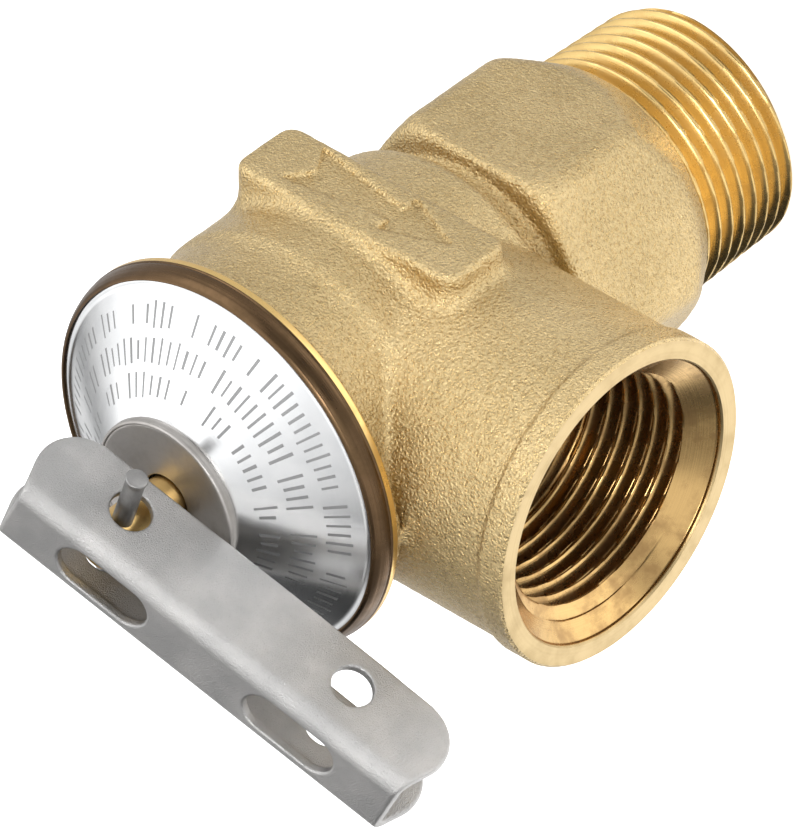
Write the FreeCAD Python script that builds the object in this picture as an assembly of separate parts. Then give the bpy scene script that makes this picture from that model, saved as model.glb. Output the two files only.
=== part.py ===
"""Pressure relief valve, 3/4 inch, with a hand test lever.

The origin is the centre of the inlet's end face. +Z runs up the valve's axis from the inlet to the
lever, and +X runs out of the outlet. Every separate piece is written as its own STEP file.
"""
import FreeCAD, Part

import math
import os

V = FreeCAD.Vector

# ---------------------------------------------------------------- driving dimensions, millimetres
# pipe threads: 3/4 inch, 14 turns to the inch
PITCH = 25.4 / 14
MALE_CREST_R = 13.335
MALE_ROOT_R = 12.25
FEMALE_CREST_R = 11.9
FEMALE_ROOT_R = 13.15
CREST_LAND = 0.4
MALE_TURNS = 7
FEMALE_TURNS = 7
INLET_LEAD = 0.9
INLET_TIP_R = 12.6

# body, seen from outside, from the inlet upwards
THREAD_END_Z = 14.2
HEX_AF = 30.5
HEX_CORNER_R = 2.8
HEX_LOW_Z = 14.2
HEX_HIGH_Z = 33.3
HEX_LOW_CHAMFER_R = 13.7
HEX_LOW_CHAMFER_H = 6.0
HEX_HIGH_CHAMFER_R = 16.2
HEX_HIGH_CHAMFER_H = 1.8
WAIST_R = 13.5
BOWL_R = 16.6
BOWL_LOW_Z = 36.6
HOUSING_R = 18.1
HOUSING_LOW_Z = 50.8
FLANGE_LOW_Z = 66.3
FLANGE_R = 20.5
CRIMP_Z = 67.3
CRIMP_SHOULDER = (20.4, 68.0)
CRIMP_KNEE = (20.25, 68.9)
LIP_TOP_R = 19.85

# outlet branch and the flow-arrow pad
OUTLET_Z = 48.8
OUTLET_FACE_X = 32.35
BRANCH_R = 16.6
BRANCH_COLLAR_R = 17.03
BRANCH_COLLAR_X = 29.4
OUTLET_MOUTH_R = 14.74
OUTLET_LEAD = 1.85
PORT_R = 9.5
PORT_START_X = 11.5
PAD_X = (-13.1, 14.5)
PAD_Y = (8.0, 19.2)
PAD_Z = (44.1, 52.6)
PAD_CORNER_R = 2.2
ARROW_Z = 47.9
ARROW_TAIL_X = -8.2
ARROW_NOTCH_X = -6.3
ARROW_HEAD_X = 3.7
ARROW_TIP_X = 10.6
ARROW_TAIL_HALF = 3.0
ARROW_NECK_HALF = 1.15
ARROW_HEAD_HALF = 2.95
ARROW_DEPTH = 0.35

# waterway and spring chamber
INLET_BORE_R = 9.0
SEAT_Z = 41.3
NOZZLE_R = 10.6
CHAMBER_FLOOR_Z = 38.8
CHAMBER_R = 14.2
CHAMBER_STEP_Z = 52.8
SPRING_BORE_R = 15.9
LEDGE_Z = 67.1
CAP_BORE_R = 19.75
LIP_INNER_R = 19.45
LIP_TOP_Z = 69.45

# stack of thin pieces under the crimped lip
GASKET_T = 0.6
BONNET_T = 1.1
PLATE_T = 0.4
PLATE_RIM_R = 18.9
PLATE_SLOPE = math.tan(math.radians(31.1))
PLATE_HOLE_R = 7.6
BONNET_RIM_R = 17.2
BONNET_TOP_R = 9.0
STEM_GAP_HOLE_R = 2.8

# disc and its carrier
DISC_R = 10.9
DISC_T = 2.2
SCREW_R = 1.9
CLEAR = 0.05
HOLDER_R = 12.2
HOLDER_WEB_T = 2.5
HOLDER_SKIRT_DROP = 1.5
HOLDER_BOSS_R = 7.5
FOOT_POCKET_R = 4.8
FOOT_POCKET_H = 2.2
RETAINER_R = 6.5
RETAINER_T = 0.8
SCREW_HEAD_AF = 7.0
SCREW_HEAD_H = 2.0

# stem, guide and seal
STEM_R = 2.4
STEM_TOP_Z = 86.2
FOOT_R = 4.6
FOOT_T = 1.1
THRUST_WASHER_T = 0.5
BUSH_R = 4.5
BUSH_FLANGE_R = 6.0
SEAL_WIRE_R = 0.45
GLAND_R = 6.8
WASHER_R = 8.4
WASHER_HOLE_R = 2.65
WASHER_T = 0.4
WASHER_LIP_Z = 76.6
WASHER_LIP_H = 0.15
WASHER_WALL_T = 0.7

# spring and its seats
CUP_T = 1.0
CUP_R = 12.0
CUP_SKIRT_R = 8.5
CUP_COLLAR_R = (6.9, 8.4)
CUP_COLLAR_H = 1.4
SPRING_MEAN_R = 10.2
SPRING_WIRE_R = 1.2
SPRING_TURNS = 4.0
SPRING_TOP_Z = 64.8
UPPER_WASHER_T = 1.0
UPPER_WASHER_R = 12.6
ADJUSTER_R = 15.85
ADJUSTER_SKIRT_R = 13.0
ADJUSTER_LOW_Z = 60.5
ADJUSTER_WEB_R = 14.0
ADJUSTER_WEB_T = 1.6
LOCK_RING_T = 1.15

# cross pin through the stem
PIN_R = 1.0
PIN_Z = 83.13
PIN_TURN = -18.0
PIN_ENDS = (-5.2, 8.6)
PIN_FLARE_R = 1.1
PIN_FLARE_H = 0.5

# lever: a channel pressed from sheet, open side down; u, v and w start at the middle of its pin holes
LEVER_YAW = -26.4
LEVER_DROOP = 10.8
LEVER_ROLL = 1.4
LEVER_TOP_U = (-8.85, 35.8)
LEVER_FOOT_U = (-11.4, 39.3)
LEVER_W = (-4.0, 5.92)
LEVER_WIDTH = 8.78
SHEET = 0.95
BEND_R = 1.9
LEVER_CORNER_R = 4.5
LEVER_HOLE_R = 2.11
PULL_HOLE_U = 26.34
SLOT_LENGTH = 10.3
SLOT_WIDTH = 4.7
SLOT_CENTRES_U = (2.2, 24.3)


# ---------------------------------------------------------------- helpers
def cylinder(radius, low_z, high_z):
    """Solid cylinder on the valve's axis."""
    return Part.makeCylinder(radius, high_z - low_z, V(0, 0, low_z))


def ring(outer_r, inner_r, low_z, high_z):
    """Flat ring on the valve's axis."""
    return cylinder(outer_r, low_z, high_z).cut(cylinder(inner_r, low_z - 1, high_z + 1))


def turned(profile):
    """Solid of revolution about Z from (radius, z) points."""
    points = [V(r, 0, z) for r, z in profile]
    face = Part.Face(Part.makePolygon(points + [points[0]]))
    return face.revolve(V(0, 0, 0), V(0, 0, 1), 360)


def across_x(radius, low_x, high_x, height):
    """Solid cylinder lying along X at the given height."""
    return Part.makeCylinder(radius, high_x - low_x, V(low_x, 0, height), V(1, 0, 0))


def hex_prism(across_flats, low_z, high_z):
    """Hexagonal prism on Z with two flats facing +Y and -Y."""
    corner = across_flats / 2 / math.cos(math.radians(30))
    points = []
    for i in range(7):
        angle = math.radians(60 * i)
        points.append(V(corner * math.cos(angle), corner * math.sin(angle), low_z))
    return Part.Face(Part.makePolygon(points)).extrude(V(0, 0, high_z - low_z))


def edges_along(shape, direction):
    """Straight edges of a shape that run along a direction."""
    found = []
    for edge in shape.Edges:
        run = edge.Vertexes[-1].Point.sub(edge.Vertexes[0].Point)
        if run.Length > 1e-6 and run.cross(direction).Length < 1e-6 * run.Length:
            found.append(edge)
    return found


def place_lever(shape):
    """Move a shape from the lever's own u, v, w to where the lever hangs on its pin."""
    tilt = FreeCAD.Rotation(LEVER_YAW, LEVER_DROOP, LEVER_ROLL)
    placed = shape.copy()
    placed.Placement = FreeCAD.Placement(V(0, 0, PIN_Z), tilt)
    return placed


def pin_cylinder(radius, start, end):
    """Solid cylinder along the cross pin's axis, from start to end, measured from the stem's axis."""
    along = V(math.sin(math.radians(-PIN_TURN)), math.cos(math.radians(PIN_TURN)), 0)
    return Part.makeCylinder(radius, end - start, along * start + V(0, 0, PIN_Z), along)


def ridge_profile(start, count, crest_r, root_r):
    """(radius, position) points of thread ridges in a row, each with a flat crest land."""
    points = []
    for i in range(count + 1):
        centre = start + i * PITCH
        points.append((crest_r, centre - CREST_LAND / 2))
        points.append((crest_r, centre + CREST_LAND / 2))
        if i < count:
            points.append((root_r, centre + PITCH / 2))
    return points


# ---------------------------------------------------------------- the body
def inlet_spigot():
    """Male thread, drawn as ridges of one crest radius."""
    first_crest = INLET_LEAD + CREST_LAND / 2
    ridges = ridge_profile(first_crest, MALE_TURNS, MALE_CREST_R, MALE_ROOT_R)
    profile = [(0, 0), (INLET_TIP_R, 0)] + ridges
    profile += [(MALE_CREST_R, THREAD_END_Z), (0, THREAD_END_Z)]
    return turned(profile)


def wrench_hex():
    """Hexagon with rounded corners and turned chamfers at both ends."""
    prism = hex_prism(HEX_AF, HEX_LOW_Z, HEX_HIGH_Z)
    prism = prism.makeFillet(HEX_CORNER_R, edges_along(prism, V(0, 0, 1)))
    corner = HEX_AF / 2 / math.cos(math.radians(30))
    envelope = turned([
        (0, HEX_LOW_Z),
        (HEX_LOW_CHAMFER_R, HEX_LOW_Z),
        (corner, HEX_LOW_Z + HEX_LOW_CHAMFER_H),
        (corner, HEX_HIGH_Z - HEX_HIGH_CHAMFER_H),
        (HEX_HIGH_CHAMFER_R, HEX_HIGH_Z),
        (0, HEX_HIGH_Z),
    ])
    return prism.common(envelope)


def bowl_and_flange():
    """Round part of the casting above the hexagon, up to the crimped lip."""
    return turned([
        (0, HEX_HIGH_Z - 1),
        (WAIST_R, HEX_HIGH_Z - 1),
        (WAIST_R, BOWL_LOW_Z - 0.8),
        (BOWL_R - 0.8, BOWL_LOW_Z),
        (BOWL_R, BOWL_LOW_Z + 0.8),
        (BOWL_R, HOUSING_LOW_Z - 1.5),
        (HOUSING_R, HOUSING_LOW_Z),
        (HOUSING_R, FLANGE_LOW_Z - 1.2),
        (FLANGE_R, FLANGE_LOW_Z + 0.2),
        (FLANGE_R, CRIMP_Z),
        CRIMP_SHOULDER,
        CRIMP_KNEE,
        (LIP_TOP_R, LIP_TOP_Z),
        (0, LIP_TOP_Z),
    ])


def outlet_branch():
    """Outlet pipe, slightly thicker behind its face."""
    pipe = across_x(BRANCH_R, 0, BRANCH_COLLAR_X, OUTLET_Z)
    collar = across_x(BRANCH_COLLAR_R, BRANCH_COLLAR_X, OUTLET_FACE_X, OUTLET_Z)
    step = BRANCH_COLLAR_R - BRANCH_R
    flare_start = V(BRANCH_COLLAR_X - step, 0, OUTLET_Z)
    flare = Part.makeCone(BRANCH_R, BRANCH_COLLAR_R, step, flare_start, V(1, 0, 0))
    return pipe.fuse([flare, collar])


def arrow_pad():
    """Raised flat boss on the +Y side, which carries the flow arrow."""
    pad = Part.makeBox(
        PAD_X[1] - PAD_X[0], PAD_Y[1] - PAD_Y[0], PAD_Z[1] - PAD_Z[0], V(PAD_X[0], PAD_Y[0], PAD_Z[0]))
    return pad.makeFillet(PAD_CORNER_R, edges_along(pad, V(0, 1, 0)))


def flow_arrow_cut():
    """Shallow arrow sunk into the pad that points to the outlet, as a cutting tool."""
    outline = [
        (ARROW_TAIL_X, ARROW_TAIL_HALF),
        (ARROW_HEAD_X, ARROW_NECK_HALF),
        (ARROW_HEAD_X, ARROW_HEAD_HALF),
        (ARROW_TIP_X, 0),
        (ARROW_HEAD_X, -ARROW_HEAD_HALF),
        (ARROW_HEAD_X, -ARROW_NECK_HALF),
        (ARROW_TAIL_X, -ARROW_TAIL_HALF),
        (ARROW_NOTCH_X, 0),
    ]
    points = [V(x, PAD_Y[1] - ARROW_DEPTH, ARROW_Z + half) for x, half in outline]
    return Part.Face(Part.makePolygon(points + [points[0]])).extrude(V(0, 2 * ARROW_DEPTH, 0))


def chamber_cut():
    """Waterway, spring chamber and the seats for the bonnet, as one cutting tool."""
    inlet = cylinder(INLET_BORE_R, -1, SEAT_Z + 1)
    chamber = cylinder(CHAMBER_R, CHAMBER_FLOOR_Z, CHAMBER_STEP_Z)
    nozzle = cylinder(NOZZLE_R, CHAMBER_FLOOR_Z - 1, SEAT_Z)
    chamber = chamber.cut(nozzle)
    spring_bore = cylinder(SPRING_BORE_R, CHAMBER_STEP_Z, LEDGE_Z)
    rim_top = LEDGE_Z + GASKET_T + BONNET_T + PLATE_T
    cap_bore = cylinder(CAP_BORE_R, LEDGE_Z, rim_top)
    mouth = cylinder(LIP_INNER_R, rim_top, LIP_TOP_Z + 1)
    return inlet.fuse([chamber, spring_bore, cap_bore, mouth])


def outlet_cut():
    """Port, female thread and lead-in of the outlet, as one cutting tool."""
    thread_high_x = OUTLET_FACE_X - OUTLET_LEAD
    thread_low_x = thread_high_x - CREST_LAND - FEMALE_TURNS * PITCH
    ridges = ridge_profile(thread_low_x + CREST_LAND / 2, FEMALE_TURNS, FEMALE_CREST_R, FEMALE_ROOT_R)
    profile = [(0, thread_low_x)] + ridges
    profile += [(FEMALE_ROOT_R, thread_high_x + 0.2), (OUTLET_MOUTH_R, OUTLET_FACE_X)]
    profile += [(OUTLET_MOUTH_R, OUTLET_FACE_X + 1), (0, OUTLET_FACE_X + 1)]
    tapped = turned(profile)
    tapped.rotate(V(0, 0, 0), V(0, 1, 0), 90)
    tapped.translate(V(0, 0, OUTLET_Z))
    port = across_x(PORT_R, PORT_START_X, thread_low_x + 1, OUTLET_Z)
    return tapped.fuse(port)


def valve_body():
    solid = inlet_spigot().fuse([wrench_hex(), bowl_and_flange(), outlet_branch(), arrow_pad()])
    solid = solid.cut(flow_arrow_cut())
    solid = solid.cut(chamber_cut())
    solid = solid.cut(outlet_cut())
    return solid.removeSplitter()


# ---------------------------------------------------------------- disc and its carrier
DISC_TOP_Z = SEAT_Z + DISC_T
POCKET_Z = DISC_TOP_Z + HOLDER_WEB_T
BOSS_TOP_Z = POCKET_Z + FOOT_POCKET_H
SPRING_LOW_Z = BOSS_TOP_Z + CUP_T


def seat_disc():
    return ring(DISC_R, SCREW_R + CLEAR, SEAT_Z, DISC_TOP_Z)


def disc_holder():
    web = cylinder(HOLDER_R, DISC_TOP_Z, POCKET_Z - 0.6)
    skirt = ring(HOLDER_R, DISC_R + CLEAR, DISC_TOP_Z - HOLDER_SKIRT_DROP, DISC_TOP_Z)
    boss = cylinder(HOLDER_BOSS_R, POCKET_Z - 0.6, BOSS_TOP_Z)
    pocket = cylinder(FOOT_POCKET_R, POCKET_Z, BOSS_TOP_Z + 1)
    screw_hole = cylinder(SCREW_R, DISC_TOP_Z - 1, POCKET_Z + 0.5)
    return web.fuse([skirt, boss]).cut(pocket.fuse(screw_hole)).removeSplitter()


def disc_retainer_washer():
    return ring(RETAINER_R, SCREW_R + CLEAR, SEAT_Z - RETAINER_T, SEAT_Z)


def disc_screw():
    head_top = SEAT_Z - RETAINER_T
    head = hex_prism(SCREW_HEAD_AF, head_top - SCREW_HEAD_H, head_top)
    shank = cylinder(SCREW_R, head_top, POCKET_Z - 0.1)
    return head.fuse(shank)


def lower_spring_cup():
    disc = ring(CUP_R, STEM_R + CLEAR, BOSS_TOP_Z, SPRING_LOW_Z)
    skirt = ring(CUP_SKIRT_R, HOLDER_BOSS_R, BOSS_TOP_Z - 1.5, BOSS_TOP_Z)
    collar = ring(CUP_COLLAR_R[1], CUP_COLLAR_R[0], SPRING_LOW_Z, SPRING_LOW_Z + CUP_COLLAR_H)
    return disc.fuse([skirt, collar]).removeSplitter()


# ---------------------------------------------------------------- spring and its adjuster
def main_spring():
    """Open coil of round wire, swept one turn at a time."""
    low = SPRING_LOW_Z + SPRING_WIRE_R
    high = SPRING_TOP_Z - SPRING_WIRE_R
    pitch = (high - low) / SPRING_TURNS
    path = Part.makeLongHelix(pitch, high - low, SPRING_MEAN_R)
    tangent = V(0, 2 * math.pi * SPRING_MEAN_R, pitch)
    section = Part.Wire(Part.makeCircle(SPRING_WIRE_R, V(SPRING_MEAN_R, 0, 0), tangent))
    wire = Part.Wire(path.Edges).makePipeShell([section], True, True)
    wire.translate(V(0, 0, low))
    return wire


def upper_spring_washer():
    return ring(UPPER_WASHER_R, BUSH_R + CLEAR, SPRING_TOP_Z, SPRING_TOP_Z + UPPER_WASHER_T)


def spring_adjuster():
    """Threaded dish that presses on the spring, with two spanner holes."""
    web_low = SPRING_TOP_Z + UPPER_WASHER_T
    skirt = ring(ADJUSTER_R, ADJUSTER_SKIRT_R, ADJUSTER_LOW_Z, web_low)
    web = ring(ADJUSTER_WEB_R, BUSH_R, web_low, web_low + ADJUSTER_WEB_T)
    solid = skirt.fuse(web)
    for side in (-1, 1):
        hole = Part.makeCylinder(1.2, 4, V(0, side * 9.0, web_low - 1))
        solid = solid.cut(hole)
    return solid


def adjuster_lock_ring():
    """Thin ring that jams the adjuster, with four spanner slots."""
    low = SPRING_TOP_Z + UPPER_WASHER_T
    solid = ring(ADJUSTER_R, ADJUSTER_WEB_R + CLEAR, low, low + LOCK_RING_T)
    for i in range(4):
        slot = Part.makeBox(1.2, 1.6, LOCK_RING_T, V(ADJUSTER_WEB_R - 0.2, -0.8, low + 0.5))
        slot.rotate(V(0, 0, 0), V(0, 0, 1), 45 + 90 * i)
        solid = solid.cut(slot)
    return solid


# ---------------------------------------------------------------- bonnet, plate and stem seal
RIM_LOW_Z = LEDGE_Z + GASKET_T
RIM_HIGH_Z = RIM_LOW_Z + BONNET_T
BONNET_TOP_Z = RIM_HIGH_Z + (PLATE_RIM_R - BONNET_TOP_R) * PLATE_SLOPE
WASHER_WEB_Z = WASHER_LIP_Z - WASHER_LIP_H


def plate_top_z(radius):
    """Height of the plate's upper surface at a radius."""
    return RIM_HIGH_Z + PLATE_T + (PLATE_RIM_R - radius) * PLATE_SLOPE


def bonnet_gasket():
    return ring(CAP_BORE_R - 0.1, SPRING_BORE_R + 0.3, LEDGE_Z, RIM_LOW_Z)


def bonnet():
    """Domed cap that closes the spring chamber."""
    upper = [(CAP_BORE_R, RIM_HIGH_Z), (BONNET_RIM_R, RIM_HIGH_Z), (BONNET_TOP_R, BONNET_TOP_Z)]
    upper += [(STEM_GAP_HOLE_R, BONNET_TOP_Z)]
    lower = [(r, z - BONNET_T) for r, z in reversed(upper)]
    return turned(upper + lower)


def name_plate():
    """Thin conical plate, held at its rim by the crimped lip."""
    upper = [(CAP_BORE_R, RIM_HIGH_Z + PLATE_T), (PLATE_RIM_R, RIM_HIGH_Z + PLATE_T)]
    upper += [(PLATE_HOLE_R, plate_top_z(PLATE_HOLE_R))]
    lower = [(r, z - PLATE_T) for r, z in reversed(upper)]
    return turned(upper + lower)


def seal_gland():
    return ring(GLAND_R, STEM_R + 2 * SEAL_WIRE_R + 0.2, BONNET_TOP_Z, WASHER_WEB_Z - WASHER_T)


def stem_seal():
    seal_r = STEM_R + CLEAR + SEAL_WIRE_R
    return Part.makeTorus(seal_r, SEAL_WIRE_R, V(0, 0, BONNET_TOP_Z + SEAL_WIRE_R))


def cap_washer():
    """Shallow cup over the plate's centre hole: its wall stands on the plate and ends in a rolled lip."""
    wall_inner_r = WASHER_R - WASHER_WALL_T
    web_low = WASHER_WEB_Z - WASHER_T
    return turned([
        (WASHER_HOLE_R, web_low),
        (wall_inner_r, web_low),
        (wall_inner_r, plate_top_z(wall_inner_r)),
        (WASHER_R - 0.1, plate_top_z(WASHER_R - 0.1)),
        (WASHER_R, plate_top_z(WASHER_R - 0.1) + 0.15),
        (WASHER_R, WASHER_LIP_Z - 0.15),
        (WASHER_R - 0.15, WASHER_LIP_Z),
        (WASHER_R - 0.45, WASHER_LIP_Z),
        (WASHER_R - 0.6, WASHER_WEB_Z),
        (WASHER_HOLE_R, WASHER_WEB_Z),
    ])


# ---------------------------------------------------------------- stem, guide and lever
def stem_guide_bush():
    flange_z = SPRING_TOP_Z + UPPER_WASHER_T + ADJUSTER_WEB_T
    barrel = cylinder(BUSH_R, SPRING_TOP_Z - 1.3, flange_z + 1.0)
    flange = cylinder(BUSH_FLANGE_R, flange_z, flange_z + 1.0)
    return barrel.fuse(flange).cut(cylinder(STEM_R + CLEAR, 0, 100)).removeSplitter()


def lift_stem():
    """Round stem with a foot that the holder's pocket keeps, and a cross hole for the lever pin."""
    foot_low = POCKET_Z + CLEAR
    foot = cylinder(FOOT_R, foot_low, foot_low + FOOT_T)
    shaft = turned([
        (0, foot_low),
        (STEM_R, foot_low),
        (STEM_R, STEM_TOP_Z - 0.5),
        (STEM_R - 0.5, STEM_TOP_Z),
        (0, STEM_TOP_Z),
    ])
    cross_hole = pin_cylinder(PIN_R, -2 * STEM_R, 2 * STEM_R)
    return foot.fuse(shaft).cut(cross_hole).removeSplitter()


def stem_thrust_washer():
    low = POCKET_Z + CLEAR + FOOT_T + CLEAR
    return ring(FOOT_POCKET_R - 0.1, STEM_R + CLEAR, low, low + THRUST_WASHER_T)


def lever_pin():
    """Cross pin with one flared end."""
    start, end = PIN_ENDS
    flare_at = end - PIN_FLARE_H
    shank = pin_cylinder(PIN_R, start, flare_at)
    along = V(math.sin(math.radians(-PIN_TURN)), math.cos(math.radians(PIN_TURN)), 0)
    flare = Part.makeCone(PIN_R, PIN_FLARE_R, PIN_FLARE_H, along * flare_at + V(0, 0, PIN_Z), along)
    return shank.fuse(flare).removeSplitter()


def channel():
    """Folded sheet channel along u, before its outline and holes are cut."""
    low_u, high_u = LEVER_FOOT_U
    low_w, high_w = LEVER_W

    def bar(width, top_w, bend):
        box = Part.makeBox(high_u - low_u, width, top_w - low_w, V(low_u, -width / 2, low_w))
        tops = [e for e in edges_along(box, V(1, 0, 0)) if e.CenterOfMass.z > top_w - 0.1]
        return box.makeFillet(bend, tops)

    return bar(LEVER_WIDTH, high_w, BEND_R).cut(
        bar(LEVER_WIDTH - 2 * SHEET, high_w - SHEET, BEND_R - SHEET))


def side_outline():
    """Block whose side view is the lever's outline: leaning ends and rounded lower corners."""
    low_w, high_w = LEVER_W
    corners = [
        V(LEVER_TOP_U[0], -LEVER_WIDTH, high_w),
        V(LEVER_FOOT_U[0], -LEVER_WIDTH, low_w),
        V(LEVER_FOOT_U[1], -LEVER_WIDTH, low_w),
        V(LEVER_TOP_U[1], -LEVER_WIDTH, high_w),
    ]
    block = Part.Face(Part.makePolygon(corners + [corners[0]])).extrude(V(0, 2 * LEVER_WIDTH, 0))
    feet = [e for e in edges_along(block, V(0, 1, 0)) if e.CenterOfMass.z < low_w + 0.1]
    return block.makeFillet(LEVER_CORNER_R, feet)


def slot_cutter(centre_u):
    """Round-ended slot through the lever's top."""
    half = (SLOT_LENGTH - SLOT_WIDTH) / 2
    low_w = LEVER_W[1] - 3
    middle = Part.makeBox(2 * half, SLOT_WIDTH, 6, V(centre_u - half, -SLOT_WIDTH / 2, low_w))
    ends = [Part.makeCylinder(SLOT_WIDTH / 2, 6, V(centre_u + s * half, 0, low_w)) for s in (-1, 1)]
    return middle.fuse(ends)


def side_hole(centre_u):
    """Round hole through both side walls of the lever."""
    return Part.makeCylinder(LEVER_HOLE_R, 20, V(centre_u, -10, 0), V(0, 1, 0))


def test_lever():
    solid = channel().common(side_outline())
    for centre_u in SLOT_CENTRES_U:
        solid = solid.cut(slot_cutter(centre_u))
    for centre_u in (0, PULL_HOLE_U):
        solid = solid.cut(side_hole(centre_u))
    return place_lever(solid)


# ---------------------------------------------------------------- write every piece
PIECES = [
    valve_body, seat_disc, disc_holder, disc_retainer_washer, disc_screw, lower_spring_cup, main_spring,
    upper_spring_washer, spring_adjuster, adjuster_lock_ring, bonnet_gasket, bonnet, name_plate,
    seal_gland, stem_seal, cap_washer, stem_guide_bush, lift_stem, stem_thrust_washer, lever_pin,
    test_lever,
]

os.makedirs("parts", exist_ok=True)
for piece in PIECES:
    shape = piece()
    solids = shape.Solids
    print(piece.__name__, len(solids), "solid", round(shape.Volume, 2), "mm3", shape.isValid())
    solids[0].exportStep(os.path.join("parts", piece.__name__ + ".step"))
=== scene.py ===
"""Looks of the pressure relief valve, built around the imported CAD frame."""

import math

import bpy
import numpy as np
import openvdb as vdb
from mathutils import Matrix, Vector, noise


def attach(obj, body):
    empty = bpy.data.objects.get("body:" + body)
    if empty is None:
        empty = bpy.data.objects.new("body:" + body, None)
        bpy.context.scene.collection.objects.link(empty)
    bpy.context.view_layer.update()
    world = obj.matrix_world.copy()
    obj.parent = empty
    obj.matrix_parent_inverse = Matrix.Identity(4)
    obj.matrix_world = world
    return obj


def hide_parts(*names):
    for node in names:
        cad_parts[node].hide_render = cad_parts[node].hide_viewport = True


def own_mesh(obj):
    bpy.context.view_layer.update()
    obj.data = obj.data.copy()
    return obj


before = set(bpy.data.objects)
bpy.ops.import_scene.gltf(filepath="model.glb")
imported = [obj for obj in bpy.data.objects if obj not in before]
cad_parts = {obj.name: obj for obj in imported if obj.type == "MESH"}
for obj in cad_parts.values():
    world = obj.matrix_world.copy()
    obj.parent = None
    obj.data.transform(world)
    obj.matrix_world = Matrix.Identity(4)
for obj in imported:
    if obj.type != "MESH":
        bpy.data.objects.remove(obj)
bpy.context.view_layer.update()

MM = 0.001
TAU = 2 * math.pi

# ------------------------------------------------------------------ dimensions shared with the CAD, mm
PITCH = 25.4 / 14
OUTLET_Z = 48.8
OUTLET_X = 32.35
PAD_TOP_Y = 19.2
HEX_AF = 30.5
STEM_R = 2.7
PIN_Z = 83.13
PIN_TURN = math.radians(-18.0)
LEVER_YAW, LEVER_DROOP, LEVER_ROLL = -26.4, 10.8, 1.4
LEVER_HALF = 4.39
LEVER_TOP, LEVER_FOOT = 5.92, -4.0
SHEET = 0.95
SPRING_LOW, SPRING_HIGH = 49.2, 64.8


# ------------------------------------------------------------------ mesh helpers
def make_mesh(name, points, quads=None, tris=None):
    """Mesh from point coordinates in mm and arrays of quads and triangles, turned to face outwards."""
    points = np.asarray(points, float)
    quads = np.zeros((0, 4), int) if quads is None or len(quads) == 0 else np.asarray(quads)
    tris = np.zeros((0, 3), int) if tris is None or len(tris) == 0 else np.asarray(tris)
    fans = np.vstack([quads[:, [0, 1, 2]], quads[:, [0, 2, 3]], tris])
    a, b, c = (points[fans[:, i]] for i in range(3))
    if np.einsum("ij,ij->i", a, np.cross(b, c)).sum() < 0:
        quads = quads[:, ::-1]
        tris = tris[:, ::-1]
    mesh = bpy.data.meshes.new(name)
    mesh.vertices.add(len(points))
    mesh.vertices.foreach_set("co", (points * MM).ravel())
    loops = np.concatenate([quads.ravel(), tris.ravel()]).astype(np.int32)
    starts = np.concatenate([np.arange(len(quads)) * 4, 4 * len(quads) + np.arange(len(tris)) * 3])
    mesh.loops.add(len(loops))
    mesh.loops.foreach_set("vertex_index", loops)
    mesh.polygons.add(len(starts))
    mesh.polygons.foreach_set("loop_start", starts.astype(np.int32))
    mesh.update(calc_edges=True)
    mesh.validate()
    obj = bpy.data.objects.new(name, mesh)
    bpy.context.scene.collection.objects.link(obj)
    return obj


def smooth(obj, angle=35):
    """Smooth shading with sharp edges above an angle."""
    obj.data.shade_smooth()
    obj.data.set_sharp_from_angle(angle=math.radians(angle))
    return obj


def soften(profile, radius, steps=3):
    """Round the corners of a profile; the end points stay when they lie on the axis."""
    pts = [np.array(p, float) for p in profile]
    out = []
    for i, p in enumerate(pts):
        before, after = pts[i - 1], pts[(i + 1) % len(pts)]
        if p[0] == 0:
            out.append(tuple(p))
            continue
        back, ahead = before - p, after - p
        reach = min(radius, 0.4 * np.linalg.norm(back), 0.4 * np.linalg.norm(ahead))
        a = p + back / np.linalg.norm(back) * reach
        b = p + ahead / np.linalg.norm(ahead) * reach
        for k in range(steps + 1):
            t = k / steps
            out.append(tuple((1 - t) ** 2 * a + 2 * t * (1 - t) * p + t * t * b))
    return out


def lathe(name, profile, segments=192, turn=None):
    """Closed solid of revolution about Z from (r, z) points; r of 0 makes a pole."""
    pts, rings, poles = [], [], []
    angle = np.arange(segments) * TAU / segments
    for r, z in profile:
        if r == 0:
            poles.append(len(pts))
            rings.append([len(pts)])
            pts.append((0, 0, z))
            continue
        rings.append(list(range(len(pts), len(pts) + segments)))
        pts.extend(np.c_[r * np.cos(angle), r * np.sin(angle), np.full(segments, z)])
    quads, tris = [], []
    for i, ring in enumerate(rings):
        other = rings[(i + 1) % len(rings)]
        if len(ring) == 1 and len(other) == 1:
            continue
        for k in range(segments):
            n = (k + 1) % segments
            if len(ring) == 1:
                tris.append((ring[0], other[n], other[k]))
            elif len(other) == 1:
                tris.append((ring[k], ring[n], other[0]))
            else:
                quads.append((ring[k], ring[n], other[n], other[k]))
    pts = np.array(pts, float)
    if turn is not None:
        pts = pts @ np.array(turn.to_3x3()).T + np.array(turn.translation)
    return make_mesh(name, pts, quads, tris)


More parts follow.
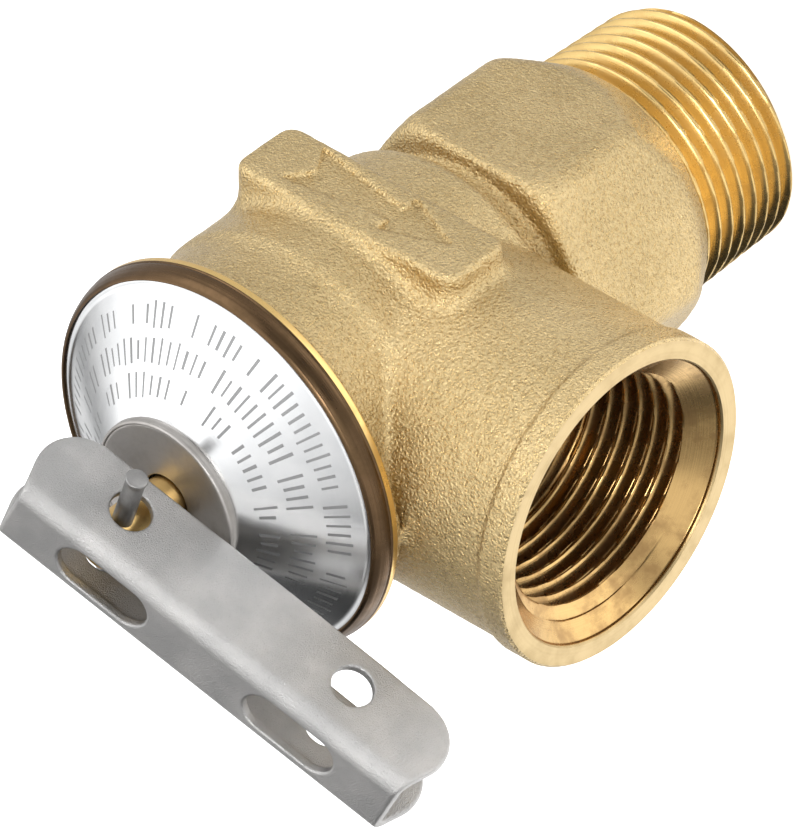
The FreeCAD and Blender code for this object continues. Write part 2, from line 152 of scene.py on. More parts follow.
def thread_rod(name, radius_at, low, high, step=0.08, segments=240, turn=None):
    """Closed rod along Z whose radius is a function of angle and height."""
    angle = np.arange(segments) * TAU / segments
    rows = int(round((high - low) / step)) + 1
    height = np.linspace(low, high, rows)
    theta, z = np.meshgrid(angle, height)
    r = radius_at(theta, z)
    pts = np.c_[(r * np.cos(theta)).ravel(), (r * np.sin(theta)).ravel(), z.ravel()]
    pts = np.vstack([pts, [[0, 0, low], [0, 0, high]]])
    i = np.arange(rows - 1)[:, None] * segments
    k = np.arange(segments)[None, :]
    n = (k + 1) % segments
    quads = np.stack([i + k, i + n, i + segments + n, i + segments + k], -1).reshape(-1, 4)
    k, n = k[0], n[0]
    foot, top = rows * segments, rows * segments + 1
    last = (rows - 1) * segments
    tris = np.vstack([np.c_[n, k, np.full(segments, foot)], np.c_[last + k, last + n, np.full(segments, top)]])
    if turn is not None:
        pts = pts @ np.array(turn.to_3x3()).T + np.array(turn.translation)
    return make_mesh(name, pts, quads, tris)


def ridge(theta, z):
    """Right-hand thread shape from 0 at the root to 1 at the crest."""
    phase = (z / PITCH - theta / TAU) % 1.0
    away = np.abs(2 * phase - 1)
    flank = 1 - np.clip((away - 0.1) / 0.78, 0, 1)
    rounded = flank * flank * (3 - 2 * flank)
    return 0.6 * flank + 0.4 * rounded


def boolean(target, cutter, operation):
    """Apply one boolean step and drop the cutter."""
    mod = target.modifiers.new("step", "BOOLEAN")
    mod.operation = operation
    mod.solver = "MANIFOLD"
    mod.object = cutter
    bpy.context.view_layer.update()
    evaluated = target.evaluated_get(bpy.context.evaluated_depsgraph_get())
    mesh = bpy.data.meshes.new_from_object(evaluated)
    target.modifiers.clear()
    old = target.data
    target.data = mesh
    bpy.data.meshes.remove(old)
    gone = cutter.data
    bpy.data.objects.remove(cutter)
    bpy.data.meshes.remove(gone)


# ------------------------------------------------------------------ distance fields
def smax(a, b, k):
    """Maximum of two fields with a rounding of about k."""
    h = np.maximum(k - np.abs(a - b), 0) / k
    return np.maximum(a, b) + h * h * k * 0.25


def smin(a, b, k):
    return -smax(-a, -b, k)


def box2(x, y, half_x, half_y, r):
    """Distance to a rectangle with rounded corners."""
    qx = np.abs(x) - half_x + r
    qy = np.abs(y) - half_y + r
    return np.hypot(np.maximum(qx, 0), np.maximum(qy, 0)) + np.minimum(np.maximum(qx, qy), 0) - r


def surface(name, field, low, step):
    """Closed mesh of a field's zero surface, in mm."""
    band = 4 * step
    grid = vdb.FloatGrid(band)
    grid.copyFromArray(np.clip(field, -band, band).astype(np.float32))
    points, quads = grid.convertToQuads(isovalue=0.0)
    return np.asarray(points, float) * step + np.array(low), np.asarray(quads)


def axes(low, high, step):
    counts = [int(math.ceil((h - l) / step)) + 1 for l, h in zip(low, high)]
    return np.meshgrid(*[l + step * np.arange(n) for l, n in zip(low, counts)], indexing="ij", sparse=True)


def cone(r, z, a, b):
    """Signed distance to the cone through two (r, z) points, negative on the axis side."""
    dr, dz = b[0] - a[0], b[1] - a[1]
    length = math.hypot(dr, dz)
    return ((r - a[0]) * dz - (z - a[1]) * dr) / length


# ------------------------------------------------------------------ the casting
def hexagon(x, y):
    """Distance to the wrench hexagon with rounded corners, flats facing +Y and -Y."""
    corner_r = 2.8
    apothem = HEX_AF / 2 - corner_r
    px, py = np.abs(x), np.abs(y)
    kx, ky = -math.cos(math.radians(30)), 0.5
    fold = 2 * np.minimum(kx * px + ky * py, 0)
    px, py = px - fold * kx, py - fold * ky
    reach = apothem * math.tan(math.radians(30))
    dx = px - np.clip(px, -reach, reach)
    dy = py - apothem
    return np.hypot(dx, dy) * np.sign(dy) - corner_r


def arrow_depth(x, z):
    """Distance in the pad's plane to a swallow-tailed arrow, negative inside."""
    v = z - 47.9
    half_shaft = 3.0 - (x + 8.2) * (3.0 - 1.15) / 11.9
    shaft = np.maximum(np.maximum(np.abs(v) - half_shaft, x - 3.9), -(x + 6.3) - 0.63 * np.abs(v))
    head = np.maximum(3.7 - x, (x - 10.6 + np.abs(v) * 6.9 / 2.95) * 0.39)
    return np.minimum(shaft, head)


def casting():
    step = 0.3
    low, high = (-22.0, -22.0, 12.8), (34.0, 22.0, 68.0)
    x, y, z = axes(low, high, step)
    r = np.hypot(x, y)
    hexa = smax(hexagon(x, y), cone(r, z, (13.7, 14.2), (17.61, 20.2)), 0.6)
    hexa = smax(hexa, cone(r, z, (17.61, 31.5), (16.2, 33.3)), 0.8)
    hexa = smax(hexa, z - 33.3, 0.9)
    hexa = smax(hexa, 14.2 - z, 0.3)
    waist = np.maximum(r - 13.5, np.abs(z - 36) - 8)
    bowl = smax(r - 16.6, 36.6 - z, 1.6)
    bowl = np.maximum(bowl, z - 56)
    barrel = np.maximum(r - 18.1, np.abs(z - 58.2) - 7.6)
    branch_r = np.hypot(y, z - OUTLET_Z)
    branch = np.maximum(branch_r - 16.6, np.maximum(-x, x - 33.0))
    collar = np.maximum(branch_r - 17.03, np.maximum(29.5 - x, x - 33.0))
    pad = box2(x - 0.7, z - 48.35, 13.8, 4.25, 1.8)
    pad = smax(pad, y - PAD_TOP_Y, 0.9)
    pad = np.maximum(pad, 6 - y)
    flange = np.maximum(r - 20.1, np.abs(z - 66.9) - 0.7)
    field = smin(hexa, waist, 0.9)
    field = smin(field, bowl, 1.2)
    field = smin(field, barrel, 4.5)
    branch = smin(branch, collar, 0.5)
    field = smin(field, branch, 0.8)
    field = smin(field, pad, 1.9)
    field = smin(field, flange, 1.6)
    sunk = np.maximum(arrow_depth(x, z) + 0.25 * (PAD_TOP_Y - y), (PAD_TOP_Y - 0.42) - y)
    sunk = np.maximum(sunk, np.where(y > 15, -1.0, 1.0) + 0 * x)
    field = smax(field, -sunk, 0.25)
    points, quads = surface("body", field, low, step)
    rough = np.empty(len(points))
    for i, p in enumerate(points):
        q = Vector(p)
        rough[i] = 0.030 * noise.noise(q * 0.9) + 0.030 * noise.noise(q * 2.1 + Vector((7, 3, 1)))
    obj = make_mesh("body_casting", points, quads)
    normals = np.empty(len(points) * 3)
    obj.data.vertices.foreach_get("normal", normals)
    moved = points + normals.reshape(-1, 3) * rough[:, None]
    obj.data.vertices.foreach_set("co", (moved * MM).ravel())
    obj.data.update()
    return obj


def male_radius(theta, z):
    crest = 13.36 - (14.2 - z) / 32
    r = crest - 1.12 * (1 - ridge(theta, z))
    return np.minimum(r, 12.35 + 0.95 * np.maximum(z, 0))


def female_radius(theta, x):
    root = 13.15 + (x - 30.5) / 32
    r = root - 1.22 * ridge(theta, x)
    r = np.maximum(r, 13.2 + (x - 30.55) * 1.25)
    r = np.minimum(r, 14.74)
    r = np.where(x > OUTLET_X - 0.25, np.maximum(r, 14.74 + (x - OUTLET_X + 0.25) * 0.8), r)
    run_out = np.clip((x - 17.2) / 1.6, 0, 1)
    return 9.5 + (r - 9.5) * np.where(x < 17.2, 0, 0.75 + 0.25 * run_out)


TO_X = Matrix.Translation((0, 0, OUTLET_Z)) @ Matrix.Rotation(math.radians(90), 4, "Y")


def valve_body():
    body = casting()
    rim = lathe("rim", soften([
        (0, 66.55), (20.0, 66.55), (20.5, 66.75), (20.5, 67.5), (20.38, 67.66), (20.44, 67.82), (20.34, 68.25),
        (20.14, 68.8), (19.88, 69.24), (19.6, 69.47), (19.3, 69.42), (0, 69.42)], 0.1, 2), 256)
    boolean(body, rim, "UNION")
    boolean(body, thread_rod("spigot", male_radius, 0.0, 15.0), "UNION")
    face = lathe("face", [(0, OUTLET_X), (16.78, OUTLET_X), (17.16, OUTLET_X - 0.36), (30, OUTLET_X - 0.36),
                          (30, 40), (0, 40)], 256, TO_X)
    boolean(body, face, "DIFFERENCE")
    cavity = lathe("cavity", [
        (0, -1), (9.5, -1), (9.5, 0.02), (9.0, 0.5), (9.0, 41.3), (10.6, 41.3), (10.6, 38.8), (14.2, 38.8),
        (14.2, 52.8), (15.9, 52.8), (15.9, 67.1), (19.75, 67.1), (19.75, 69.2), (19.45, 69.2), (19.5, 70.5),
        (0, 70.5)], 256)
    boolean(body, cavity, "DIFFERENCE")
    boolean(body, thread_rod("socket", female_radius, 11.0, 34.0, turn=TO_X), "DIFFERENCE")
    return body


def sort_faces(body):
    """Material index of every face, from where it lies: cast, thread, faced, bore, socket, crimp, band."""
    mesh = body.data
    count = len(mesh.polygons)
    centre, normal = np.empty(count * 3), np.empty(count * 3)
    mesh.polygons.foreach_get("center", centre)
    mesh.polygons.foreach_get("normal", normal)
    centre = centre.reshape(-1, 3) / MM
    normal = normal.reshape(-1, 3)
    x, y, z = centre.T
    r = np.hypot(x, y)
    across = np.hypot(y, z - OUTLET_Z)
    index = np.zeros(count, int)
    index[z < 14.1] = 1
    index[(x > OUTLET_X - 0.02)] = 2
    index[(x > OUTLET_X - 0.4) & (across < 14.9) & (across < 17)] = 2
    inward = normal[:, 0] * x + normal[:, 1] * y < 0
    index[(r < 16.0) & inward & (z < 67.2) & (x < 16.2) & ((r < 14.3) | (z > 52.7))] = 3
    index[(z < 52.9) & (z > 38) & (r < 14.3)] = 3
    index[(across < 14.8) & (x > 11) & (x < OUTLET_X - 0.02) & (r > 14.0)] = 4
    index[(across < 9.7) & (r < 18) & (x > 11)] = 3
    index[(z > 67.45) & (r > 19)] = 5
    index[(z > 66.62) & (z <= 67.45) & (r > 20.2)] = 6
    index[(z > 66.9) & (r < 19.8) & (z < 69.3)] = 3
    index[(r < 9.2) & (z < 42)] = 3
    index[(z < 0.05) & (r > 9)] = 2
    mesh.polygons.foreach_set("material_index", index.astype(np.int32))


# ------------------------------------------------------------------ lever
def yaw_pitch_roll():
    yaw, droop, roll = (math.radians(a) for a in (LEVER_YAW, LEVER_DROOP, LEVER_ROLL))
    turn = Matrix.Rotation(yaw, 4, "Z") @ Matrix.Rotation(droop, 4, "Y") @ Matrix.Rotation(roll, 4, "X")
    return Matrix.Translation((0, 0, PIN_Z)) @ turn


def corner(a, b, c, radius):
    """Rounded meeting of two edge distances whose outward normals have dot product c."""
    pa, pb = a + radius, b + radius
    far = np.sqrt(np.maximum(pa * pa + pb * pb - 2 * pa * pb * c, 0) / (1 - c * c))
    inside = np.maximum(pa, pb)
    round_zone = (pa > pb * c) & (pb > pa * c) & (inside > 0)
    return np.where(round_zone, far, inside) - radius


def test_lever():
    step = 0.14
    low, high = (-12.2, -5.2, -5.0), (40.4, 5.2, 6.8)
    u, v, w = axes(low, high, step)
    outer = smax(box2(v, w - (LEVER_TOP - 20), LEVER_HALF, 20, 1.9), -w - 15, 0.01)
    inner = box2(v, w - (LEVER_TOP - SHEET - 20), LEVER_HALF - SHEET, 20, 1.0)
    sheet = smax(outer, -inner, 0.16)
    left = np.array([LEVER_FOOT - LEVER_TOP, -11.4 + 8.85]) / math.hypot(9.92, 2.55)
    near_end = (u + 8.85) * left[0] - (w - LEVER_TOP) * left[1]
    right = np.array([LEVER_TOP - LEVER_FOOT, 39.3 - 35.8]) / math.hypot(9.92, 3.5)
    far_end = (u - 35.8) * right[0] + (w - LEVER_TOP) * right[1]
    sag = LEVER_FOOT + 0.22 * np.clip((np.abs(u - 10) - 8) / 16, 0, 1) ** 2
    bottom = sag - w
    outline = np.maximum(corner(near_end, bottom, left[1], 4.6), corner(far_end, bottom, -right[1], 4.4))
    field = smax(sheet, outline, 0.22)
    for centre in (2.2, 24.3):
        along = np.maximum(np.abs(u - centre) - (10.3 - 4.7) / 2, 0)
        slot = np.maximum(np.hypot(along, v) - 4.7 / 2, 2.5 - w)
        field = smax(field, -slot, 0.2)
    for centre in (0, 26.34):
        hole = np.hypot(u - centre, w) - 2.11
        field = smax(field, -hole - 0 * v, 0.2)
    points, quads = surface("lever", field, low, step)
    turn = yaw_pitch_roll()
    points = points @ np.array(turn.to_3x3()).T + np.array(turn.translation)
    return make_mesh("lever_channel", points, quads)


def lever_pin():
    along = Vector((math.sin(-PIN_TURN), math.cos(PIN_TURN), 0))
    turn = Matrix.Translation((0, 0, PIN_Z)) @ along.to_track_quat("Z", "Y").to_matrix().to_4x4()
    profile = [(0, -5.2), (0.85, -5.2), (1.0, -5.02), (1.0, 5.4), (0.97, 7.1), (0.99, 7.8), (1.1, 8.25),
               (1.14, 8.48), (1.02, 8.6), (0, 8.64)]
    return lathe("pin_shank", soften(profile, 0.1, 2), 64, turn)


# ------------------------------------------------------------------ turned pieces and the spring
def name_plate():
    top = 69.2 + (18.9 - 7.6) * math.tan(math.radians(31.1))
    profile = [(7.6, top), (18.75, 69.27), (19.0, 69.2), (19.43, 69.2), (19.43, 68.8), (18.9, 68.8), (7.6, top - 0.4)]
    return lathe("etched_plate", soften(profile, 0.1, 2), 256)


def cap_washer():
    """Shallow cup with a doubly rolled lip, standing on the plate."""
    profile = [
        (2.65, 76.05), (7.7, 76.05), (7.7, 75.956), (8.32, 75.604), (8.4, 75.75), (8.38, 76.05),
        (8.33, 76.18), (8.39, 76.3), (8.36, 76.5), (8.24, 76.62), (8.08, 76.61), (7.98, 76.51),
        (7.9, 76.54), (7.74, 76.47), (2.85, 76.45), (2.7, 76.4), (2.65, 76.3)]
    return lathe("rolled_washer", profile, 192)


def lift_stem():
    low = 46.0 + 0.05
    profile = [
        (0, low), (4.55, low), (4.6, low + 0.1), (4.6, low + 1.0), (4.5, low + 1.1), (2.4, low + 1.1), (2.4, 85.7),
        (2.3, 85.98), (1.9, 86.2), (0, 86.2)]
    return lathe("stem_rod", soften(profile, 0.08, 2), 96)


def main_spring():
    """Round wire coil with flat ends, as a tube along a helix."""
    mean, wire, turns = 10.2, 1.2, 4.0
    rise = SPRING_HIGH - SPRING_LOW - 2 * wire
    rows, around = 288, 20
    t = np.linspace(0, 1, rows)
    angle = t * turns * TAU
    centre = np.c_[mean * np.cos(angle), mean * np.sin(angle), SPRING_LOW + wire + t * rise]
    tangent = np.c_[-mean * np.sin(angle), mean * np.cos(angle), np.full(rows, rise / (turns * TAU))]
    tangent /= np.linalg.norm(tangent, axis=1)[:, None]
    out = np.c_[np.cos(angle), np.sin(angle), np.zeros(rows)]
    up = np.cross(out, tangent)
    ring = np.arange(around) * TAU / around
    pts = centre[:, None, :] + wire * (np.cos(ring)[None, :, None] * out[:, None, :]
                                       + np.sin(ring)[None, :, None] * up[:, None, :])
    pts = np.vstack([pts.reshape(-1, 3), centre[[0, -1]]])
    i = np.arange(rows - 1)[:, None] * around
    k = np.arange(around)[None, :]
    n = (k + 1) % around
    quads = np.stack([i + k, i + n, i + around + n, i + around + k], -1).reshape(-1, 4)
    k, n = k[0], n[0]
    last = (rows - 1) * around
    first_hub, last_hub = rows * around, rows * around + 1
    tris = np.vstack([np.c_[n, k, np.full(around, first_hub)],
                      np.c_[last + k, last + n, np.full(around, last_hub)]])
    return make_mesh("spring_coil", pts, quads, tris)


# ------------------------------------------------------------------ materials
class Shader:
    """Small helper that adds and links nodes of one material."""

    def __init__(self, name):
        self.material = bpy.data.materials.new(name)
        self.material.use_nodes = True
        self.tree = self.material.node_tree
        self.tree.nodes.clear()
        self.out = self.tree.nodes.new("ShaderNodeOutputMaterial")
        self.bsdf = self.tree.nodes.new("ShaderNodeBsdfPrincipled")
        self.tree.links.new(self.bsdf.outputs[0], self.out.inputs[0])
        coords = self.tree.nodes.new("ShaderNodeTexCoord")
        self.mm = self.vector("SCALE", coords.outputs["Object"], scale=1 / MM)

    def put(self, socket, value):
        if isinstance(value, bpy.types.NodeSocket):
            self.tree.links.new(value, socket)
        elif value is not None:
            socket.default_value = value

    def math(self, operation, a, b=None, c=None, clamp=False):
        node = self.tree.nodes.new("ShaderNodeMath")
        node.operation = operation
        node.use_clamp = clamp
        for socket, value in zip(node.inputs, (a, b, c)):
            self.put(socket, value)
        return node.outputs[0]

    def vector(self, operation, a, b=None, scale=None):
        node = self.tree.nodes.new("ShaderNodeVectorMath")
        node.operation = operation
        self.put(node.inputs[0], a)
        if b is not None:
            self.put(node.inputs[1], b)
        if scale is not None:
            node.inputs["Scale"].default_value = scale
        return node.outputs["Value"] if operation in ("LENGTH", "DOT_PRODUCT") else node.outputs[0]

    def noise(self, scale, detail=2.0, vector=None, rough=0.5):
        node = self.tree.nodes.new("ShaderNodeTexNoise")
        self.put(node.inputs["Vector"], vector or self.mm)
        node.inputs["Scale"].default_value = scale
        node.inputs["Detail"].default_value = detail
        node.inputs["Roughness"].default_value = rough
        return node.outputs[0]

    def steps(self, value, low, high, out_low=0.0, out_high=1.0):
        node = self.tree.nodes.new("ShaderNodeMapRange")
        node.interpolation_type = "SMOOTHSTEP"
        for socket, v in zip(node.inputs, (value, low, high, out_low, out_high)):
            self.put(socket, v)
        return node.outputs[0]

    def mix(self, factor, a, b):
        node = self.tree.nodes.new("ShaderNodeMix")
        node.data_type = "RGBA"
        self.put(node.inputs[0], factor)
        for socket, colour in ((node.inputs[6], a), (node.inputs[7], b)):
            self.put(socket, colour if isinstance(colour, bpy.types.NodeSocket) else (*colour, 1))
        return node.outputs[2]

    def bump(self, height, distance, strength=1.0, normal=None):
        node = self.tree.nodes.new("ShaderNodeBump")
        node.inputs["Distance"].default_value = distance * MM
        node.inputs["Strength"].default_value = strength
        self.put(node.inputs["Height"], height)
        self.put(node.inputs["Normal"], normal)
        return node.outputs[0]

    def split(self):
        node = self.tree.nodes.new("ShaderNodeSeparateXYZ")
        self.put(node.inputs[0], self.mm)
        return node.outputs

    def finish(self, colour, metallic, roughness, normal=None):
        self.put(self.bsdf.inputs["Base Color"], colour)
        self.put(self.bsdf.inputs["Metallic"], metallic)
        self.put(self.bsdf.inputs["Roughness"], roughness)
        self.put(self.bsdf.inputs["Normal"], normal)
        return self.material


def cast_brass():
    s = Shader("cast_brass_blasted")
    broad = s.steps(s.noise(0.12, 3), 0.35, 0.65)
    fine = s.steps(s.noise(2.6, 2), 0.3, 0.7)
    base = s.mix(broad, (0.50, 0.365, 0.17), (0.58, 0.43, 0.21))
    # Fine noise lightens the grain in flecks: painted sparkle highlights laid over the casting's own grain tone.
    base = s.mix(s.math("MULTIPLY", fine, 0.35), base, (0.76, 0.61, 0.35))
    pits = s.steps(s.noise(1.1, 4), 0.66, 0.74)
    base = s.mix(s.math("MULTIPLY", pits, 0.45), base, (0.26, 0.16, 0.07))
    grain = s.bump(s.noise(4.0, 2, rough=0.5), 0.26, 1.0)
    grain = s.bump(s.noise(0.9, 2), 0.14, 0.6, grain)
    rough = s.math("MULTIPLY_ADD", fine, 0.10, 0.24)
    return s.finish(base, 0.95, rough, grain)


def turned_metal(name, light, dark, roughness, ring_scale=9.0, centre_axis="Z", bump=0.01, wear=0.25, metallic=1.0):
    """Machined metal with fine rings about an axis and slight stain."""
    s = Shader(name)
    x, y, z = s.split()
    if centre_axis == "X":
        radius = s.math("SQRT", s.math("ADD", s.math("POWER", y, 2.0), s.math("POWER", s.math(
            "SUBTRACT", z, OUTLET_Z), 2.0)))
        along = x
    else:
        radius = s.math("SQRT", s.math("ADD", s.math("POWER", x, 2.0), s.math("POWER", y, 2.0)))
        along = z
    node = s.tree.nodes.new("ShaderNodeCombineXYZ")
    s.put(node.inputs[0], radius)
    s.put(node.inputs[1], along)
    rings = s.noise(ring_scale, 2, node.outputs[0])
    stain = s.steps(s.noise(0.35, 4, rough=0.65), 0.4, 0.72)
    colour = s.mix(s.math("MULTIPLY", stain, wear), light, dark)
    colour = s.mix(s.math("MULTIPLY", rings, 0.25), colour, dark)
    rough = s.math("ADD", s.math("MULTIPLY", stain, 0.12), s.math("MULTIPLY_ADD", rings, 0.10, roughness))
    return s.finish(colour, metallic, rough, s.bump(rings, bump))


def sheet_steel():
    """Tumbled stainless sheet: fine grain, faint scratches, darker speckle all over."""
    s = Shader("tumbled_stainless")
    grain = s.noise(7.0, 3, rough=0.65)
    patch = s.steps(s.noise(0.22, 3), 0.3, 0.75)
    colour = s.mix(patch, (0.40, 0.395, 0.39), (0.50, 0.49, 0.48))
    specks = s.steps(grain, 0.60, 0.68)
    colour = s.mix(s.math("MULTIPLY", specks, 0.3), colour, (0.2, 0.19, 0.19))
    stretched = s.vector("MULTIPLY", s.mm, (0.35, 6.0, 6.0))
    scratch = s.noise(1.4, 3, stretched)
    normal = s.bump(grain, 0.10, 1.0)
    normal = s.bump(scratch, 0.006, 0.7, normal)
    rough = s.math("MULTIPLY_ADD", grain, 0.16, 0.24)
    return s.finish(colour, 1.0, rough, normal)


def plate_metal():
    """Satin aluminium with three rings of etched tick marks that spell nothing."""
    s = Shader("etched_aluminium")
    x, y, z = s.split()
    radius = s.math("SQRT", s.math("ADD", s.math("POWER", x, 2.0), s.math("POWER", y, 2.0)))
    angle = s.math("ARCTAN2", y, x)
    etched = None
    for row_r, cell, height in ((16.6, 1.05, 2.3), (13.7, 1.05, 2.3), (10.9, 1.05, 2.1)):
        count = round(TAU * row_r / cell)
        place = s.math("MULTIPLY", s.math("ADD", angle, math.pi), count / TAU)
        cell_id = s.math("FLOOR", place)
        inside = s.math("SUBTRACT", place, cell_id)
        white = s.tree.nodes.new("ShaderNodeTexWhiteNoise")
        white.noise_dimensions = "2D"
        pair = s.tree.nodes.new("ShaderNodeCombineXYZ")
        s.put(pair.inputs[0], cell_id)
        s.put(pair.inputs[1], row_r)
        s.put(white.inputs["Vector"], pair.outputs[0])
        pick = white.outputs["Value"]
        shape = s.tree.nodes.new("ShaderNodeSeparateColor")
        s.put(shape.inputs[0], white.outputs["Color"])
        bar = s.math("COMPARE", inside, 0.5, s.math("MULTIPLY_ADD", shape.outputs[0], 0.08, 0.09))
        offset = s.math("SUBTRACT", radius, row_r)
        tall = s.math("COMPARE", offset, 0.0, s.math("MULTIPLY_ADD", shape.outputs[1], 0.45, height / 2 - 0.45))
        strokes = s.math("MULTIPLY", bar, tall)
        strokes = s.math("MULTIPLY", strokes, s.math("GREATER_THAN", pick, 0.27))
        etched = strokes if etched is None else s.math("MAXIMUM", etched, strokes)
    pair = s.tree.nodes.new("ShaderNodeCombineXYZ")
    s.put(pair.inputs[0], radius)
    s.put(pair.inputs[1], s.math("MULTIPLY", angle, 1.2))
    brushed = s.noise(6.0, 3, pair.outputs[0])
    cloud = s.steps(s.noise(0.22, 3), 0.35, 0.7)
    colour = s.mix(cloud, (0.80, 0.81, 0.82), (0.90, 0.905, 0.91))
    colour = s.mix(s.math("MULTIPLY", etched, 0.85), colour, (0.22, 0.22, 0.22))
    rough = s.math("ADD", s.math("MULTIPLY_ADD", brushed, 0.10, 0.17), s.math("MULTIPLY", etched, 0.35))
    normal = s.bump(brushed, 0.006, 0.6)
    return s.finish(colour, 1.0, rough, normal)


def soft_solid(name, light, dark, roughness, scale=1.2, bump=0.02):
    """Rubber, fibre or plastic with a mottled colour and fine grain."""
    s = Shader(name)
    mottle = s.steps(s.noise(scale, 4), 0.3, 0.7)
    grain = s.noise(scale * 5, 3)
    colour = s.mix(mottle, dark, light)
    return s.finish(colour, 0.0, s.math("MULTIPLY_ADD", grain, 0.15, roughness), s.bump(grain, bump))


CAST = cast_brass()
THREAD = turned_metal("thread_brass", (0.76, 0.54, 0.22), (0.48, 0.30, 0.10), 0.18, 7.0)
FACED = turned_metal("faced_brass", (0.50, 0.38, 0.20), (0.36, 0.26, 0.12), 0.34, 4.0, "X", 0.02)
BORE = turned_metal("bore_brass", (0.40, 0.24, 0.10), (0.20, 0.11, 0.05), 0.45, 5.0)
SOCKET = turned_metal("socket_brass", (0.56, 0.37, 0.15), (0.22, 0.12, 0.05), 0.18, 6.0, "X", 0.01, 0.6)
# The crimped lip is coloured almost black: painted shade and dark reflection on the lip, far darker than the brass
# itself.
CRIMP = turned_metal("crimped_brass", (0.14, 0.085, 0.045), (0.07, 0.045, 0.022), 0.22, 6.0, "Z", 0.02, 0.5)
BAND = turned_metal("band_brass", (0.82, 0.57, 0.22), (0.50, 0.31, 0.11), 0.22, 8.0)
TURNED = turned_metal("turned_brass", (0.78, 0.54, 0.22), (0.48, 0.30, 0.11), 0.24, 8.0)
BRONZE = turned_metal("guide_bronze", (0.50, 0.30, 0.14), (0.30, 0.16, 0.07), 0.35, 8.0)
PLATED = turned_metal("plated_steel_dull", (0.47, 0.45, 0.43), (0.34, 0.32, 0.30), 0.40, 5.0, "Z", 0.008, 0.5)
STEEL = turned_metal("stainless_turned", (0.60, 0.60, 0.59), (0.36, 0.36, 0.36), 0.26, 9.0)
WIRE = turned_metal("spring_wire", (0.42, 0.42, 0.43), (0.20, 0.20, 0.21), 0.32, 4.0, wear=0.5)
PIN = turned_metal("pin_steel", (0.34, 0.335, 0.33), (0.17, 0.165, 0.16), 0.33, 5.0, "X", 0.02, 0.5)
LEVER = sheet_steel()
PLATE = plate_metal()
SEAT_RUBBER = soft_solid("seat_silicone", (0.46, 0.09, 0.05), (0.34, 0.06, 0.035), 0.55)
SEAL_RUBBER = soft_solid("seal_black_rubber", (0.035, 0.035, 0.035), (0.015, 0.015, 0.015), 0.5)
GASKET = soft_solid("gasket_sheet", (0.07, 0.065, 0.06), (0.03, 0.03, 0.028), 0.7, 3.0)
PTFE = soft_solid("white_ptfe", (0.82, 0.82, 0.80), (0.74, 0.74, 0.71), 0.38, 0.6, 0.005)


def dress(obj, *materials):
    obj.data.materials.clear()
    for material in materials:
        obj.data.materials.append(material)


# ------------------------------------------------------------------ pieces and what they ride on
def add(obj, node, body, material, angle=35):
    dress(obj, material)
    smooth(obj, angle)
    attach(obj, body)
    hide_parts(node)
    return obj


body = valve_body()
dress(body, CAST, THREAD, FACED, BORE, SOCKET, CRIMP, BAND)
sort_faces(body)
smooth(body, 40)
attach(body, "housing")
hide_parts("valve_body")

add(name_plate(), "name_plate", "housing", PLATE)
add(cap_washer(), "cap_washer", "housing", PLATED, 50)
add(lift_stem(), "lift_stem", "stem_group", TURNED)
add(lever_pin(), "lever_pin", "stem_group", PIN)
add(test_lever(), "test_lever", "lever", LEVER, 60)
coil = add(main_spring(), "main_spring", "housing", WIRE)
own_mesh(coil)

for node, material in (
        ("seat_disc", SEAT_RUBBER), ("disc_holder", TURNED), ("disc_retainer_washer", PLATED), ("disc_screw", STEEL),
        ("lower_spring_cup", PLATED), ("upper_spring_washer", PLATED), ("spring_adjuster", TURNED),
        ("adjuster_lock_ring", TURNED), ("bonnet_gasket", GASKET), ("bonnet", STEEL), ("seal_gland", TURNED),
        ("stem_seal", SEAL_RUBBER), ("stem_guide_bush", BRONZE), ("stem_thrust_washer", PTFE)):
    dress(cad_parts[node], material)


# ------------------------------------------------------------------ floor, light and camera
def floor():
    size = 6.0
    mesh = bpy.data.meshes.new("floor")
    mesh.from_pydata([(-size, -size, 0), (size, -size, 0), (size, size, 0), (-size, size, 0)], [], [(0, 1, 2, 3)])
    obj = bpy.data.objects.new("floor", mesh)
    bpy.context.scene.collection.objects.link(obj)
    s = Shader("pale_floor")
    tone = s.steps(s.noise(0.002, 2), 0.3, 0.7)
    path = s.tree.nodes.new("ShaderNodeLightPath")
    seen = path.outputs["Is Camera Ray"]
    pale = s.mix(tone, (0.80, 0.80, 0.80), (0.82, 0.82, 0.82))
    s.finish(s.mix(seen, (0.45, 0.45, 0.45), pale), 0.0, 0.9)
    x = s.split()[0]
    # For all but camera rays the floor glows, brighter from x = -15 to 75 mm and fading past 105 mm: painted light
    # that stands in for a lamp on that side.
    lit_side = s.math("SUBTRACT", s.steps(x, -15.0, 75.0), s.steps(x, 105.0, 180.0))
    lit_side = s.math("MULTIPLY_ADD", lit_side, 1.45, 0.15)
    s.put(s.bsdf.inputs["Emission Color"], (1.0, 1.0, 1.0, 1.0))
    s.put(s.bsdf.inputs["Emission Strength"], s.math("ADD", s.math("MULTIPLY", seen, 0.75), s.math(
        "MULTIPLY", s.math("SUBTRACT", 1.0, seen), lit_side)))
    obj.data.materials.append(s.material)


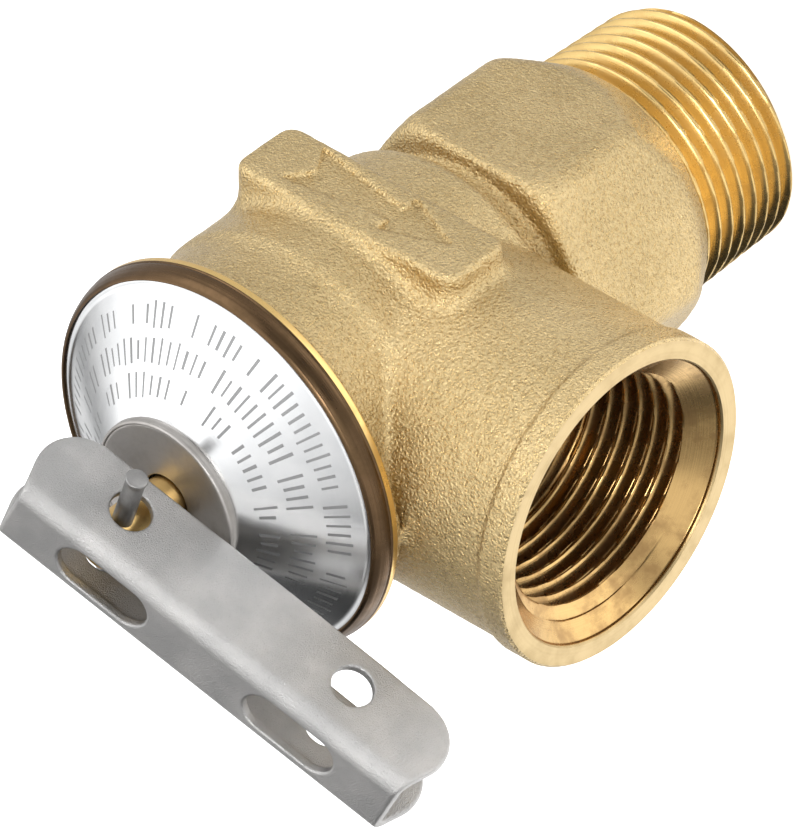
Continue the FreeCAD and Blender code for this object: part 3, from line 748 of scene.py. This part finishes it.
def studio():
    """World light: pale studio with a soft box overhead, bright sides and a darker back wall."""
    world = bpy.data.worlds.new("studio")
    bpy.context.scene.world = world
    world.use_nodes = True
    tree = world.node_tree
    tree.nodes.clear()
    out = tree.nodes.new("ShaderNodeOutputWorld")
    back = tree.nodes.new("ShaderNodeBackground")
    tree.links.new(back.outputs[0], out.inputs[0])
    coords = tree.nodes.new("ShaderNodeTexCoord")
    total = None

    def math_node(operation, a, b):
        node = tree.nodes.new("ShaderNodeMath")
        node.operation = operation
        for socket, value in zip(node.inputs, (a, b)):
            if isinstance(value, bpy.types.NodeSocket):
                tree.links.new(value, socket)
            else:
                socket.default_value = value
        return node.outputs[0]

    def lobe(direction, inner, outer, strength):
        aim = Vector(direction).normalized()
        dot = tree.nodes.new("ShaderNodeVectorMath")
        dot.operation = "DOT_PRODUCT"
        tree.links.new(coords.outputs["Generated"], dot.inputs[0])
        dot.inputs[1].default_value = aim
        ramp = tree.nodes.new("ShaderNodeMapRange")
        ramp.interpolation_type = "SMOOTHSTEP"
        values = (dot.outputs["Value"], math.cos(math.radians(outer)), math.cos(math.radians(inner)), 0.0, strength)
        for socket, value in zip(ramp.inputs, values):
            if isinstance(value, bpy.types.NodeSocket):
                tree.links.new(value, socket)
            else:
                socket.default_value = value
        return ramp.outputs[0]

    total = 0.26
    for args in (((-0.25, 0.0, 0.97), 20, 52, 0.85), ((-0.70, 0.25, 0.62), 20, 60, 1.2),
                 ((-0.51, -0.63, 0.58), 12, 40, 0.6), ((-0.51, 0.78, 0.36), 12, 32, 2.1),
                 ((0.92, -0.05, 0.35), 15, 50, 1.5), ((0.45, 0.45, 0.77), 5, 16, 15.0)):
        total = math_node("ADD", lobe(*args), total)
    for args in (((0.14, -0.86, 0.48), 14, 34, 0.86), ((0.70, -0.42, 0.58), 8, 23, 0.7)):
        total = math_node("MULTIPLY", total, math_node("SUBTRACT", 1.0, lobe(*args)))
    path = tree.nodes.new("ShaderNodeLightPath")
    shown = math_node("MULTIPLY", path.outputs["Is Camera Ray"], 0.9)
    hidden = math_node("MULTIPLY", total, math_node("SUBTRACT", 1.0, path.outputs["Is Camera Ray"]))
    tree.links.new(math_node("ADD", shown, hidden), back.inputs[1])


def camera():
    data = bpy.data.cameras.new("camera")
    data.sensor_width = 36.0
    data.lens = 580.8
    data.clip_end = 50
    obj = bpy.data.objects.new("camera", data)
    bpy.context.scene.collection.objects.link(obj)
    right, up, back = (0.7494, -0.0005, -0.6621), (-0.4191, 0.7738, -0.4750), (0.5126, 0.6334, 0.5797)
    turn = Matrix((right, up, back)).transposed().to_4x4()
    obj.matrix_world = Matrix.Translation((0.6549, 0.7992, 0.7839)) @ turn
    bpy.context.scene.camera = obj


floor()
studio()
camera()
bpy.context.scene.view_settings.view_transform = "Standard"
